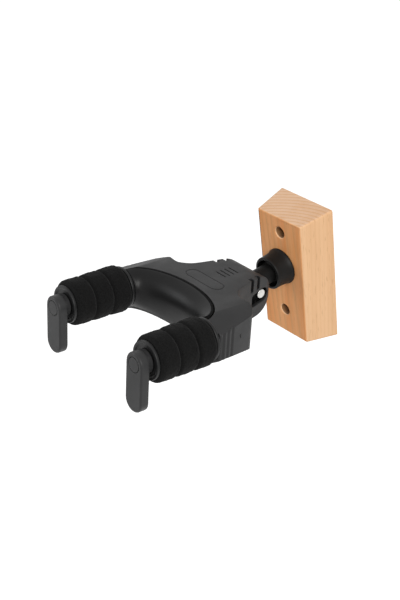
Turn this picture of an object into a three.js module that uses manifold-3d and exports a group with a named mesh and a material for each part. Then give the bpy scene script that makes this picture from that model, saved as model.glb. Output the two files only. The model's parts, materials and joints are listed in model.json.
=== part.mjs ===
// Wall guitar hanger: a wooden wall block carries a swivelling stem, the stem carries a tilting yoke,
// and the weight on the yoke's two padded arms turns the two gates that close the fork.
// Millimetres, +Z up. The wall is the plane y = 0, the hanger reaches out along -Y, and it is
// mirror symmetric about x = 0. The origin is the centre of the block's wall face.
import * as THREE from 'three';
import { mergeVertices } from 'three/addons/utils/BufferGeometryUtils.js';
import Module from 'manifold-3d';

const wasm = await Module();
wasm.setup();

// ---- running fits
const FIT = 0.3;                  // gap between pieces that touch
const SLIDE_FIT = 0.35;           // gap where one piece slides or turns in another
const THROUGH = 150;              // how far a cutter runs, past everything that it cuts

// ---- wall block, a slab that narrows towards the room
const BLOCK_DEPTH = 24.45;
const BLOCK_WIDTH = 46.1;
const BLOCK_HEIGHT = 95.7;
const SIDE_TAPER = 3.8;
const TOP_TAPER = 3.0;
const BOTTOM_TAPER = 5.2;
const BLOCK_CORNER = 1.2;
const SCREW_HOLE_RADIUS = 3.8;
const UPPER_HOLE_MARGIN = 13.95;  // hole centre to the top of the wall face
const LOWER_HOLE_MARGIN = 22.95;  // hole centre to the bottom of the wall face
const STEM_HEIGHT = 9.4;          // stem axis above the centre of the wall face
const NUT_POCKET_RADIUS = 7.0;
const NUT_POCKET_DEPTH = 9.0;

// ---- collar and stem
const COLLAR_LENGTH = 12.4;
const COLLAR_FOOT_RADIUS = 12.3;
const COLLAR_WAIST_RADIUS = 10.7;
const COLLAR_LIP_RADIUS = 10.9;
const CUP_RADIUS = 9.2;
const CUP_DEPTH = 8.0;
const THREAD_RADIUS = 3.0;
const WASHER_CLEARANCE = 0.8;     // washer edge to the wall of the nut's pocket
const WASHER_THICKNESS = 1.2;
const WAVE_WASHER_THICKNESS = 0.8;
const NUT_HEIGHT = 5.0;
const NUT_FLATS = 10.0;
const FRICTION_WASHER_THICKNESS = 1.2;
const STEM_FLANGE_RADIUS = 8.4;
const STEM_FLANGE_THICKNESS = 2.6;
const STEM_NECK_RADIUS = 6.4;
const PIVOT_REACH = 55;           // pivot axis from the wall

// ---- yoke tilt and gate swing
const TILT = 11.25;               // degrees the arms stand up with no load
const GATE_SWING = 90;            // degrees a gate turns while the yoke drops through TILT

// ---- arms and gate drive, the places that the housing is drawn around
const ARM_X = 40;
const ROOT_Y = -97;               // front end of the housing, where the arms leave it
const BAR_Y = ROOT_Y + 25.5;
const BAR_THICKNESS = 4.0;
const BAR_HALF_HEIGHT = 4.6;
const BAR_END = 1.5;              // material past the slot at each end of the bar
const GUIDE_X = 16;
const GUIDE_RADIUS = 1.5;
const CRANK_THICKNESS = 3.0;
const CRANK_Y = BAR_Y - BAR_THICKNESS / 2 - 2.5 - CRANK_THICKNESS / 2;
const CRANK_HUB_RADIUS = 5.0;
const CRANK_PIN_RADIUS = 1.5;
const CRANK_PIN_WALL = 1.4;
const SPRING_Y = BAR_Y + 20;
const SPRING_RADIUS = 3.2;
const SPRING_WIRE = 0.5;
const SPRING_TURNS = 5;
const SPRING_SEAT = 1.3;          // lever to the centre of the spring's lowest turn

// ---- yoke frame: x across, y back to front along the arms (negative outwards), z square to the deck
const PIN_Y = -30.9;
const PIN_Z = -1.0;
const DECK_Z = 12.8;
const NECK_CENTRE_Y = -37;        // centre of the neck's half-round rear end, seen from the side
const BELLY_Z = -14.2;
const CHINE_X = ARM_X + 4.5;      // where the belly breaks up to the side wall
const CHINE_SLOPE = 0.65;
const WALL = 2.4;
const SHOULDER_X = ARM_X - 3;     // where the deck breaks down to the side wall
const SHOULDER_SLOPE = 0.38;
const SADDLE_RADIUS = 13.0;
const SADDLE_DEPTH = 21.6;        // how far the fork's bottom lies behind the arm roots
const SADDLE_TUCK = 2.2;          // how far its wall comes back from the bulge to the belly
const SADDLE_RIM = 2.3;           // deck edge to arm axis, across
const LINER_RIM = 1.3;
const PARTING_GROOVE = 0.7;
const HALF_PLAN = [               // half of the plan, from the arm's root round to the end of the neck
  [ARM_X + 12, ROOT_Y], [ARM_X + 6, BAR_Y + 4], [ARM_X - 0.4, BAR_Y + 8.6], [ARM_X - 11.4, BAR_Y + 7.4],
  [22.5, BAR_Y + 13], [20.5, BAR_Y + 18.5], [17.6, PIN_Y - 11.1], [15.6, PIN_Y - 2.1],
  [14.6, PIN_Y + 4.4], [12.4, PIN_Y + 8.4],
];
const PLAN_ROUND = 2.6;
const PLATE_THICKNESS = 2.2;
const PLATE_REAR_Y = PIN_Y - 15.1;
const GILLS = { stations: [PIN_Y - 11.6, PIN_Y - 5.3], width: 2.5, depth: 3.0, sill: 4.5 };
const DECK_SLOTS = { first: PIN_Y - 11.9, pitch: 3.4, count: 4, halfLength: 4.5, width: 0.9, depth: 0.8 };
const RIBS = { first: ROOT_Y + 3.4, pitch: 4, count: 3, radius: 1.2, standOff: 0.3, bottom: -11 };
const PANEL = { y: BAR_Y + 5.7, halfLength: 11, radius: 4.8, line: 0.6, depth: 0.5 };

// ---- pivot
const PIN_RADIUS = 3.0;
const PIN_HALF_LENGTH = 14.0;
const STOP_PIN_Y = -40.0;
const STOP_PIN_Z = 0.0;
const STOP_PIN_RADIUS = 1.0;
const STOP_PIN_HALF_LENGTH = 13.4;
const TONGUE_RADIUS = 8.0;
const TONGUE_HALF_WIDTH = 7.0;
const TONGUE_SLOT = TONGUE_HALF_WIDTH + 1.2;
const LEVER_HALF_WIDTH = 4.0;
const LEVER_TIP_THICKNESS = 3.0;
const LEVER_TIP_LENGTH = 5.0;
const LEVER_ROOT = { length: 12, halfHeight: 5.6 };
const LEVER_WAIST = { length: 18, halfHeight: 3.2 };
const BUSH_WALL = 1.3;
const EAR_PIN_WALL = 1.8;         // from the pivot pin to the edge of the recess in the ear
const RECESS_CORNERS = [          // the recess round the pivot pin and the stop pin, as centre and radius
  [[PIN_Y, PIN_Z], PIN_RADIUS + EAR_PIN_WALL],
  [[STOP_PIN_Y, STOP_PIN_Z], STOP_PIN_RADIUS + 0.9],
  [[STOP_PIN_Y, STOP_PIN_Z - 4.8], 1.7],
];
const INSERT_FACE_X = 12.8;

// ---- arms
const TUBE_RADIUS = 8.0;
const TUBE_BORE = 5.6;
const TUBE_BACK_Y = CRANK_Y - CRANK_THICKNESS / 2 - 1;
const SOCKET_WALL = 2.1;
const SOCKET_BACK_Y = TUBE_BACK_Y - 2;
const RING_RADIUS = 13.2;
const RING_LENGTH = 2.2;
const FOAM_RADIUS = 14.1;         // at the free end
const FOAM_ROOT_RADIUS = 14.7;
const FOAM_LENGTH = 38.4;
const FOAM_ROUND = 3.0;
const FOAM_SEGMENTS = 3;
const FOAM_GROOVE = 0.9;
const CAP_RADIUS = 11.6;
const CAP_THICKNESS = 1.9;
const CAP_RECESS = 0.9;
const CAP_SPIGOT = 6;
const CAP_EDGE = 0.6;
const SHAFT_RADIUS = 3.0;
const SHAFT_BUSH_LENGTH = 7.7;
const SHAFT_SEAT = 1.2;           // how far the shaft goes into the gate
const GATE_HUB_LENGTH = 2.8;
const GATE_THICKNESS = 5.6;
const GATE_HALF_WIDTH = 7.3;
const GATE_REACH = 22.8;          // shaft axis to the centre of the gate's round tip
const GATE_HUB_RADIUS = 7.0;
const GATE_BEVEL = 0.8;
const SCREW_COVER_RADIUS = 4.4;
const SCREW_COVER_THICKNESS = 0.8;
const GATE_SCREW_HEAD = 2.9;
const GATE_SCREW_HEIGHT = 1.2;
const GATE_SCREW_RADIUS = 1.2;
const GATE_SCREW_REACH = 7;       // how far the screw goes into the shaft

// ---- housing screws
const HOUSING_SCREWS = [[12.5, BAR_Y + 14.5], [ARM_X - 14, BAR_Y - 5.8]];
const BOSS_RADIUS = 3.0;
const SCREW_RADIUS = 1.0;
const SCREW_HEAD_RADIUS = 2.5;
const SCREW_HEAD_HEIGHT = 1.2;
const SCREW_LENGTH = 11;
const SCREW_HEAD_SINK = 0.2;

// ---- materials
const FINISHES = {
  beech: [0xd6ab8f, 0.6, 0],
  black_metal: [0x302e2d, 0.35, 0.4],
  bright_steel: [0xd8d8d8, 0.25, 1],
  zinc: [0xb4b4ae, 0.4, 1],
  grey_plastic: [0x505154, 0.5, 0],
  dark_plastic: [0x2b2b2d, 0.5, 0],
  saddle_rubber: [0x3c3c3e, 0.45, 0],
  foam: [0x232324, 0.95, 0],
  acetal: [0xdedcd2, 0.5, 0],
  bronze: [0xa97b45, 0.4, 1],
};

// ---- solids

/** A closed manifold from a three.js geometry, turned the right way out. */
function solid(geometry) {
  const plain = geometry.clone();
  plain.deleteAttribute('normal');
  plain.deleteAttribute('uv');
  const merged = mergeVertices(plain, 1e-4);
  const vertProperties = new Float32Array(merged.attributes.position.array);
  const triVerts = new Uint32Array(merged.index.array);
  if (signedVolume(vertProperties, triVerts) < 0) {
    for (let i = 0; i < triVerts.length; i += 3) {
      [triVerts[i], triVerts[i + 1]] = [triVerts[i + 1], triVerts[i]];
    }
  }
  return new wasm.Manifold(new wasm.Mesh({ numProp: 3, vertProperties, triVerts }));
}

/** Six times the volume that the triangles enclose, negative where they face inwards. */
function signedVolume(positions, triangles) {
  const a = new THREE.Vector3();
  const b = new THREE.Vector3();
  const c = new THREE.Vector3();
  let total = 0;
  for (let i = 0; i < triangles.length; i += 3) {
    a.fromArray(positions, 3 * triangles[i]);
    b.fromArray(positions, 3 * triangles[i + 1]);
    c.fromArray(positions, 3 * triangles[i + 2]);
    total += a.dot(b.cross(c));
  }
  return total;
}

function geometryOf(manifold) {
  const mesh = manifold.getMesh();
  const geometry = new THREE.BufferGeometry();
  geometry.setAttribute('position', new THREE.BufferAttribute(mesh.vertProperties, 3));
  geometry.setIndex(new THREE.BufferAttribute(mesh.triVerts, 1));
  return geometry;
}

const join = (...solids) => solids.reduce((sum, next) => sum.add(next));
const cut = (from, ...tools) => tools.reduce((rest, tool) => rest.subtract(tool), from);

function box(x0, x1, y0, y1, z0, z1) {
  const geometry = new THREE.BoxGeometry(x1 - x0, y1 - y0, z1 - z0);
  return solid(geometry.translate((x0 + x1) / 2, (y0 + y1) / 2, (z0 + z1) / 2));
}

/** A round bar along X, Y or Z between two stations, centred on the other two coordinates. */
function bar(axis, radius, from, to, centre, sides = 24) {
  const geometry = new THREE.CylinderGeometry(radius, radius, Math.abs(to - from), sides);
  if (axis === 'x') geometry.rotateZ(Math.PI / 2);
  if (axis === 'z') geometry.rotateX(Math.PI / 2);
  const middle = (from + to) / 2;
  const place = { x: [middle, ...centre], y: [centre[0], middle, centre[1]], z: [...centre, middle] };
  return solid(geometry.translate(...place[axis]));
}

/** A turned piece about the Y axis through (x, z); the profile lists radius and y, and closes on itself. */
function turned(profile, x, z, sides = 32) {
  const points = [...profile, profile[0]].map(([radius, y]) => new THREE.Vector2(radius, y));
  return solid(new THREE.LatheGeometry(points, sides).translate(x, 0, z));
}

function prism(outline, depth) {
  const shape = new THREE.Shape(outline.map(([u, v]) => new THREE.Vector2(u, v)));
  return new THREE.ExtrudeGeometry(shape, { depth, bevelEnabled: false });
}

/** An outline in x and y, extruded from z0 to z1. */
const extrudeZ = (outline, z0, z1) => solid(prism(outline, z1 - z0).translate(0, 0, z0));

/** An outline in y and z, extruded from x0 to x1. */
function extrudeX(outline, x0, x1) {
  const turn = new THREE.Matrix4().makeBasis(
    new THREE.Vector3(0, 1, 0), new THREE.Vector3(0, 0, 1), new THREE.Vector3(1, 0, 0));
  return solid(prism(outline, x1 - x0).translate(0, 0, x0).applyMatrix4(turn));
}

/** An outline in x and z, extruded from y0 to y1. */
function extrudeY(outline, y0, y1) {
  const turn = new THREE.Matrix4().makeBasis(
    new THREE.Vector3(1, 0, 0), new THREE.Vector3(0, 0, 1), new THREE.Vector3(0, -1, 0));
  return solid(prism(outline, y1 - y0).translate(0, 0, -y1).applyMatrix4(turn));
}

/** Loops of equally many [x, y, z] points, joined side by side and capped at both ends. */
function loft(loops) {
  const count = loops[0].length;
  const index = [];
  for (let row = 0; row + 1 < loops.length; row += 1) {
    for (let i = 0; i < count; i += 1) {
      const a = row * count + i;
      const b = row * count + ((i + 1) % count);
      index.push(a, b, a + count, b, b + count, a + count);
    }
  }
  const last = (loops.length - 1) * count;
  const flat = loops[0].map(([x, y]) => new THREE.Vector2(x, y));
  for (const [a, b, c] of THREE.ShapeUtils.triangulateShape(flat, [])) {
    index.push(c, b, a, last + a, last + b, last + c);
  }
  const geometry = new THREE.BufferGeometry();
  geometry.setAttribute('position', new THREE.Float32BufferAttribute(loops.flat(2), 3));
  geometry.setIndex(index);
  return solid(geometry);
}

// ---- outlines

/** The outline moved inwards by a distance; it runs anticlockwise. */
function inset(outline, distance) {
  return outline.map((point, i) => {
    const before = outline[(i + outline.length - 1) % outline.length];
    const after = outline[(i + 1) % outline.length];
    const first = Math.atan2(point[1] - before[1], point[0] - before[0]);
    const second = Math.atan2(after[1] - point[1], after[0] - point[0]);
    const half = Math.atan2(Math.sin(second - first), Math.cos(second - first)) / 2;
    const along = distance / Math.cos(half);
    return [point[0] - along * Math.sin(first + half), point[1] + along * Math.cos(first + half)];
  });
}

/** The outline with each corner replaced by an arc that cuts off the given length of its edges. */
function softened(outline, trim, steps = 4) {
  return outline.flatMap((point, i) => {
    const before = outline[(i + outline.length - 1) % outline.length];
    const after = outline[(i + 1) % outline.length];
    const towards = (other) => {
      const length = Math.hypot(other[0] - point[0], other[1] - point[1]);
      const share = Math.min(trim, 0.45 * length) / length;
      return [point[0] + share * (other[0] - point[0]), point[1] + share * (other[1] - point[1])];
    };
    const start = towards(before);
    const end = towards(after);
    return Array.from({ length: steps + 1 }, (_, step) => {
      const t = step / steps;
      return [0, 1].map((k) => (1 - t) ** 2 * start[k] + 2 * t * (1 - t) * point[k] + t * t * end[k]);
    });
  });
}

/** The outline around two circles, as a belt runs round two pulleys. */
function belt([u0, v0], r0, [u1, v1], r1, steps = 12) {
  const heading = Math.atan2(v1 - v0, u1 - u0);
  const lean = Math.acos((r0 - r1) / Math.hypot(u1 - u0, v1 - v0));
  const arc = (u, v, radius, from, to) => Array.from({ length: steps + 1 }, (_, i) => {
    const angle = from + ((to - from) * i) / steps;
    return [u + radius * Math.cos(angle), v + radius * Math.sin(angle)];
  });
  return [
    ...arc(u1, v1, r1, heading - lean, heading + lean),
    ...arc(u0, v0, r0, heading + lean, heading - lean + 2 * Math.PI),
  ];
}

/** Half an outline and its mirror image about the second coordinate's axis, as one loop. */
const mirrored = (half) => [...half, ...half.map(([x, y]) => [-x, y]).reverse()];

// ---- the assembly tree
const hanger = new THREE.Group();
const stem = new THREE.Group();
const tilt = new THREE.Group();
const yoke = new THREE.Group();
stem.position.set(0, 0, STEM_HEIGHT);
tilt.position.set(0, -PIVOT_REACH, 0);
tilt.rotation.x = THREE.MathUtils.degToRad(-TILT);
yoke.position.set(0, -PIN_Y, -PIN_Z);
hanger.add(stem);
stem.add(tilt);
tilt.add(yoke);

function piece(group, name, shape, finish) {
  const [color, roughness, metalness] = FINISHES[finish];
  const material = new THREE.MeshStandardMaterial({ color, roughness, metalness });
  const mesh = new THREE.Mesh(geometryOf(shape), material);
  mesh.name = name;
  group.add(mesh);
}

const SIDES = [['left', -1], ['right', 1]];

// ---- wall block and its fixings
const washerFaceY = -NUT_POCKET_DEPTH + FIT;
const nutFaceY = washerFaceY + WASHER_THICKNESS + FIT + WAVE_WASHER_THICKNESS + FIT;

function wallBlock() {
  const face = (width, bottom, top, y) => {
    const corners = [[-width, bottom], [width, bottom], [width, top], [-width, top]];
    return softened(corners, BLOCK_CORNER, 3).map(([x, z]) => [x, z, y]);
  };
  const halfWidth = BLOCK_WIDTH / 2;
  const halfHeight = BLOCK_HEIGHT / 2;
  const back = face(halfWidth, -halfHeight, halfHeight, 0);
  const front = face(halfWidth - SIDE_TAPER, BOTTOM_TAPER - halfHeight, halfHeight - TOP_TAPER, BLOCK_DEPTH);
  const slab = loft([back, front]).rotate([90, 0, 0]);
  const holes = [halfHeight - UPPER_HOLE_MARGIN, LOWER_HOLE_MARGIN - halfHeight].map(
    (z) => bar('y', SCREW_HOLE_RADIUS, -BLOCK_DEPTH - 1, 1, [0, z], 28));
  const bore = bar('y', THREAD_RADIUS + FIT, -BLOCK_DEPTH - 1, 1, [0, STEM_HEIGHT]);
  const pocket = bar('y', NUT_POCKET_RADIUS, -NUT_POCKET_DEPTH, 1, [0, STEM_HEIGHT], 28);
  return cut(slab, ...holes, bore, pocket);
}

function collar() {
  const foot = -BLOCK_DEPTH - FIT;
  const lip = foot - COLLAR_LENGTH;
  const floor = lip + CUP_DEPTH;
  return turned([
    [THREAD_RADIUS + FIT, foot], [COLLAR_FOOT_RADIUS, foot], [COLLAR_FOOT_RADIUS, foot - 0.8],
    [COLLAR_FOOT_RADIUS - 1.1, foot - 2.6], [COLLAR_WAIST_RADIUS, foot - 5],
    [COLLAR_WAIST_RADIUS - 0.1, lip + 3], [COLLAR_LIP_RADIUS, lip + 0.6], [COLLAR_LIP_RADIUS - 0.5, lip],
    [CUP_RADIUS, lip], [CUP_RADIUS, floor], [THREAD_RADIUS + FIT, floor],
  ], 0, STEM_HEIGHT, 32);
}

const ring = (inner, outer, y0, y1, x, z, sides) => turned(
  [[inner, y0], [outer, y0], [outer, y1], [inner, y1]], x, z, sides);

const cupFloorY = -BLOCK_DEPTH - FIT - COLLAR_LENGTH + CUP_DEPTH;
const flangeBackY = cupFloorY - FIT - FRICTION_WASHER_THICKNESS - FIT;
const flangeFrontY = flangeBackY - STEM_FLANGE_THICKNESS;

function lockNut() {
  const hex = Array.from({ length: 6 }, (_, i) => {
    const angle = (i * Math.PI) / 3;
    const corner = NUT_FLATS / 2 / Math.cos(Math.PI / 6);
    return [corner * Math.cos(angle), STEM_HEIGHT + corner * Math.sin(angle)];
  });
  const body = extrudeY(hex, nutFaceY, nutFaceY + NUT_HEIGHT);
  return cut(body, bar('y', THREAD_RADIUS + FIT, nutFaceY - 1, nutFaceY + NUT_HEIGHT + 1, [0, STEM_HEIGHT]));
}

const washerBore = THREAD_RADIUS + FIT;
const washerRadius = NUT_POCKET_RADIUS - WASHER_CLEARANCE;
const washerBackY = washerFaceY + WASHER_THICKNESS;
piece(hanger, 'wall_block', wallBlock(), 'beech');
piece(hanger, 'wall_collar', collar(), 'black_metal');
piece(hanger, 'flat_washer',
  ring(washerBore, washerRadius, washerFaceY, washerBackY, 0, STEM_HEIGHT, 24), 'zinc');
piece(hanger, 'wave_washer',
  ring(washerBore, washerRadius - 0.6, washerBackY + FIT, nutFaceY - FIT, 0, STEM_HEIGHT, 24), 'zinc');
piece(hanger, 'lock_nut', lockNut(), 'zinc');
piece(hanger, 'friction_washer',
  ring(washerBore, STEM_FLANGE_RADIUS, cupFloorY - FIT - FRICTION_WASHER_THICKNESS, cupFloorY - FIT,
    0, STEM_HEIGHT, 24), 'acetal');

// ---- stem: thread, flange, neck, tongue with its pivot bore, and the lever that works the gates
const radians = THREE.MathUtils.degToRad;
const leverReach = PIN_Y - BAR_Y;
const barLift = 2 * leverReach * Math.sin(radians(TILT / 2));
const crankRadius = barLift / 2 / Math.sin(radians(GATE_SWING / 2));
const stopReach = Math.hypot(STOP_PIN_Y - PIN_Y, STOP_PIN_Z - PIN_Z);

function stemBody() {
  const nutEnd = nutFaceY + NUT_HEIGHT + 1;
  const thread = bar('y', THREAD_RADIUS, flangeBackY, nutEnd, [0, 0]);
  const turnedNeck = turned([
    [0, flangeBackY], [STEM_FLANGE_RADIUS, flangeBackY], [STEM_FLANGE_RADIUS, flangeFrontY],
    [STEM_NECK_RADIUS, flangeFrontY - 2], [STEM_NECK_RADIUS, -PIVOT_REACH + TONGUE_RADIUS],
    [0, -PIVOT_REACH + 2],
  ], 0, 0);
  const tongue = bar('x', TONGUE_RADIUS, -TONGUE_HALF_WIDTH, TONGUE_HALF_WIDTH, [-PIVOT_REACH, 0], 36);
  return join(thread, turnedNeck, tongue, lever().rotate([-TILT / 2, 0, 0]).translate([0, -PIVOT_REACH, 0]));
}

/** The lever in the frame of the pivot, straight out along -Y and tapering to its tip. */
function lever() {
  const tip = -leverReach - BAR_THICKNESS / 2 - 0.6;
  const halfTip = LEVER_TIP_THICKNESS / 2;
  const lower = [
    [0, -LEVER_ROOT.halfHeight], [-LEVER_ROOT.length, -LEVER_ROOT.halfHeight],
    [-LEVER_WAIST.length, -LEVER_WAIST.halfHeight],
    [LEVER_TIP_LENGTH - leverReach, -halfTip], [tip, -halfTip],
  ];
  const upper = lower.map(([y, z]) => [y, -z]).reverse();
  return extrudeX([...lower, ...upper].reverse(), -LEVER_HALF_WIDTH, LEVER_HALF_WIDTH);
}

/** The lever's half height at a distance from the pivot, on the stretch that tapers to its tip. */
function leverHalfHeightAt(distance) {
  const taperEnd = leverReach - LEVER_TIP_LENGTH;
  const share = (distance - LEVER_WAIST.length) / (taperEnd - LEVER_WAIST.length);
  return LEVER_WAIST.halfHeight + share * (LEVER_TIP_THICKNESS / 2 - LEVER_WAIST.halfHeight);
}

const bushRadius = PIN_RADIUS + SLIDE_FIT + BUSH_WALL;
const pivotBore = bar('x', bushRadius + FIT, -THROUGH, THROUGH, [-PIVOT_REACH, 0], 32);
const stemSolid = cut(stemBody(), pivotBore, ...stopSlot());
piece(stem, 'swivel_stem', stemSolid, 'black_metal');

/** Overlapping holes along the arc that the stop pin sweeps through the tongue. */
function stopSlot() {
  const loaded = Math.atan2(STOP_PIN_Z - PIN_Z, PIN_Y - STOP_PIN_Y);
  return [0, 0.25, 0.5, 0.75, 1].map((share) => {
    const angle = loaded + share * radians(TILT);
    const at = [-PIVOT_REACH - stopReach * Math.cos(angle), stopReach * Math.sin(angle)];
    return bar('x', STOP_PIN_RADIUS + FIT, -THROUGH, THROUGH, at, 16);
  });
}

function pivotBush() {
  const outer = bar('x', bushRadius, -TONGUE_HALF_WIDTH, TONGUE_HALF_WIDTH, [-PIVOT_REACH, 0], 32);
  return cut(outer, bar('x', PIN_RADIUS + SLIDE_FIT, -THROUGH, THROUGH, [-PIVOT_REACH, 0], 32));
}
piece(stem, 'pivot_bush', pivotBush(), 'bronze');

// ---- yoke housing: a deep tray, open below, whose neck straddles the stem's tongue
const planAt = (offset) => softened(inset(mirrored(HALF_PLAN), offset), PLAN_ROUND, 3);
const farY = ROOT_Y - 20;

/** The side profile: level above and below, with a half-round rear end. */
function sideProfile(offset) {
  const middle = (DECK_Z + BELLY_Z) / 2;
  const radius = (DECK_Z - BELLY_Z) / 2 - offset;
  const steps = 14;
  const rear = Array.from({ length: steps + 1 }, (_, i) => {
    const angle = -Math.PI / 2 + (Math.PI * i) / steps;
    return [NECK_CENTRE_Y + radius * Math.cos(angle), middle + radius * Math.sin(angle)];
  });
  return [[farY, middle - radius], ...rear, [farY, middle + radius]];
}

/** The housing's outer form moved inwards by an offset, before the fork is cut out. */
function form(offset) {
  const upright = extrudeZ(planAt(offset), -THROUGH, THROUGH);
  const sides = extrudeX(sideProfile(offset), -THROUGH, THROUGH);
  const edge = DECK_Z - offset * Math.hypot(1, SHOULDER_SLOPE);
  const shoulders = SIDES.map(([, sign]) => {
    const wedge = [
      [sign * SHOULDER_X, edge], [sign * THROUGH, edge - SHOULDER_SLOPE * (THROUGH - SHOULDER_X)],
      [sign * THROUGH, THROUGH], [sign * SHOULDER_X, THROUGH],
    ];
    return extrudeY(wedge, farY, 0);
  });
  const floor = BELLY_Z + offset * Math.hypot(1, CHINE_SLOPE);
  const chines = SIDES.map(([, sign]) => {
    const wedge = [
      [sign * CHINE_X, floor], [sign * THROUGH, floor + CHINE_SLOPE * (THROUGH - CHINE_X)],
      [sign * THROUGH, -THROUGH], [sign * CHINE_X, -THROUGH],
    ];
    return extrudeY(wedge, farY, 0);
  });
  return cut(upright.intersect(sides), ...shoulders, ...chines);
}

/**
 * The space of the fork between the arms. At height z its plan is half an ellipse, drawn in by the
 * half-chord of a circle round the arm axis, so that the walls roll over like a padded rail. Below
 * that bulge the bottom of the fork drops almost straight to the belly.
 */
function fork(radius, leastInset) {
  const rows = 10;
  const steps = 20;
  const rise = Array.from({ length: rows + 1 }, (_, i) => radius * Math.sin(Math.PI * (i / rows - 0.5)));
  const loops = [BELLY_Z - 1, ...rise, DECK_Z + 10].map((z) => {
    const chord = Math.max(leastInset, Math.sqrt(Math.max(0, radius ** 2 - z ** 2)));
    const halfWidth = ARM_X - chord;
    const depth = SADDLE_DEPTH - (z > 0 ? chord : radius - SADDLE_TUCK * (z / BELLY_Z) ** 2);
    const arc = Array.from({ length: steps + 1 }, (_, i) => {
      const angle = (Math.PI * i) / steps;
      return [halfWidth * Math.cos(angle), ROOT_Y + depth * Math.sin(angle), z];
    });
    return [[halfWidth, farY, z], ...arc, [-halfWidth, farY, z]];
  });
  return loft(loops);
}

/** The plan's half width at a station along the neck. */
function halfWidthAt(y) {
  const i = HALF_PLAN.findIndex((point) => point[1] >= y);
  const [x0, y0] = HALF_PLAN[i - 1];
  const [x1, y1] = HALF_PLAN[i];
  return x0 + ((x1 - x0) * (y - y0)) / (y1 - y0);
}

/** The recess in each ear, drawn in by an offset. */
function recess(offset, x0, x1) {
  const rounds = RECESS_CORNERS.map(([at, radius], i) => {
    const [nextAt, nextRadius] = RECESS_CORNERS[(i + 1) % RECESS_CORNERS.length];
    return extrudeX(belt(at, radius - offset, nextAt, nextRadius - offset, 5), x0, x1);
  });
  const middle = RECESS_CORNERS.map(([at]) => at);
  return join(...rounds, extrudeX(middle, x0, x1));
}

const outerForm = cut(form(0), fork(SADDLE_RADIUS, SADDLE_RIM));
const linerSpace = fork(SADDLE_RADIUS - WALL, LINER_RIM);
const housingFork = fork(SADDLE_RADIUS - WALL - FIT, LINER_RIM - PARTING_GROOVE);

/** A block across the whole width behind the fork, from one station to another. */
const across = (y0, y1, z0, z1) => box(-THROUGH, THROUGH, y0, y1, z0, z1);

function housing() {
  const plateSpace = extrudeZ(planAt(WALL), -THROUGH, BELLY_Z + WALL + 0.1);
  const belly = plateSpace.intersect(across(farY, PLATE_REAR_Y, -THROUGH, 0));
  const shell = cut(outerForm, form(WALL), belly, housingFork);
  const sockets = SIDES.map(([, sign]) => bar(
    'y', TUBE_RADIUS + FIT + SOCKET_WALL, ROOT_Y + 1, SOCKET_BACK_Y, [sign * ARM_X, 0], 32));
  const bosses = bossPlaces.map(([x, y]) => bar('z', BOSS_RADIUS, plateTopZ + FIT, DECK_Z, [x, y], 20));
  const insides = join(...sockets, ...bosses).intersect(form(WALL / 2)).subtract(housingFork);
  return cut(
    shell.add(insides),
    ...SIDES.map(([, sign]) => bar('y', TUBE_RADIUS + FIT, farY, TUBE_BACK_Y + 2, [sign * ARM_X, 0], 36)),
    ...bossPlaces.map((at) => bar('z', SCREW_RADIUS + FIT, BELLY_Z, BELLY_Z + SCREW_LENGTH + 1, at, 12)),
    box(-TONGUE_SLOT, TONGUE_SLOT, PIN_Y - 5.1, 0, PIN_Z - TONGUE_RADIUS - 0.5, PIN_Z + TONGUE_RADIUS + 1.5),
    recess(0, -THROUGH, THROUGH),
    ...gills(), ...deckSlots(), ...ribGrooves(), panelLine(),
  );
}

const plateTopZ = BELLY_Z + PLATE_THICKNESS;
const bossPlaces = HOUSING_SCREWS.flatMap(([x, y]) => [[-x, y], [x, y]]);

const gills = () => SIDES.flatMap(([, sign]) => GILLS.stations.map((y) => {
  const inner = sign * (halfWidthAt(y) - GILLS.depth);
  const outer = sign * THROUGH;
  const half = GILLS.width / 2;
  return box(Math.min(inner, outer), Math.max(inner, outer), y - half, y + half, GILLS.sill, THROUGH);
}));

const stations = ({ first, pitch, count }) => Array.from({ length: count }, (_, i) => first - i * pitch);

const deckSlots = () => stations(DECK_SLOTS).map((y) => box(
  -DECK_SLOTS.halfLength, DECK_SLOTS.halfLength, y - DECK_SLOTS.width / 2, y + DECK_SLOTS.width / 2,
  DECK_Z - DECK_SLOTS.depth, THROUGH));

const ribGrooves = () => SIDES.flatMap(([, sign]) => stations({ ...RIBS, pitch: -RIBS.pitch }).map((y) => bar(
  'z', RIBS.radius, RIBS.bottom, THROUGH, [sign * (halfWidthAt(y) + RIBS.standOff), y], 12)));

function panelLine() {
  const ends = [[-PANEL.halfLength, PANEL.y], [PANEL.halfLength, PANEL.y]];
  const [outer, inner] = [PANEL.radius, PANEL.radius - PANEL.line].map(
    (radius) => extrudeZ(belt(ends[0], radius, ends[1], radius, 10), DECK_Z - PANEL.depth, THROUGH));
  return cut(outer, inner);
}

function bottomPlate() {
  const sheet = extrudeZ(planAt(WALL + FIT), BELLY_Z, plateTopZ);
  const trimmed = sheet.intersect(across(farY, PLATE_REAR_Y - FIT, -THROUGH, 0));
  const seatTop = BELLY_Z + SCREW_HEAD_SINK + SCREW_HEAD_HEIGHT + FIT;
  const seats = bossPlaces.flatMap(([x, y]) => [
    bar('z', SCREW_RADIUS + FIT, -THROUGH, 0, [x, y], 12),
    bar('z', SCREW_HEAD_RADIUS + FIT, -THROUGH, seatTop, [x, y], 20),
  ]);
  return cut(trimmed.intersect(form(0)), housingFork, ...seats);
}

piece(yoke, 'yoke_housing', housing(), 'grey_plastic');
piece(yoke, 'bottom_plate', bottomPlate(), 'grey_plastic');
piece(yoke, 'saddle_liner', outerForm.intersect(linerSpace), 'saddle_rubber');

bossPlaces.forEach(([x, y], i) => {
  const headZ = BELLY_Z + SCREW_HEAD_SINK;
  const head = bar('z', SCREW_HEAD_RADIUS, headZ, headZ + SCREW_HEAD_HEIGHT, [x, y], 20);
  const shank = bar('z', SCREW_RADIUS, headZ, headZ + SCREW_LENGTH, [x, y], 12);
  piece(yoke, `housing_screw_${i + 1}`, join(head, shank), 'zinc');
});

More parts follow.
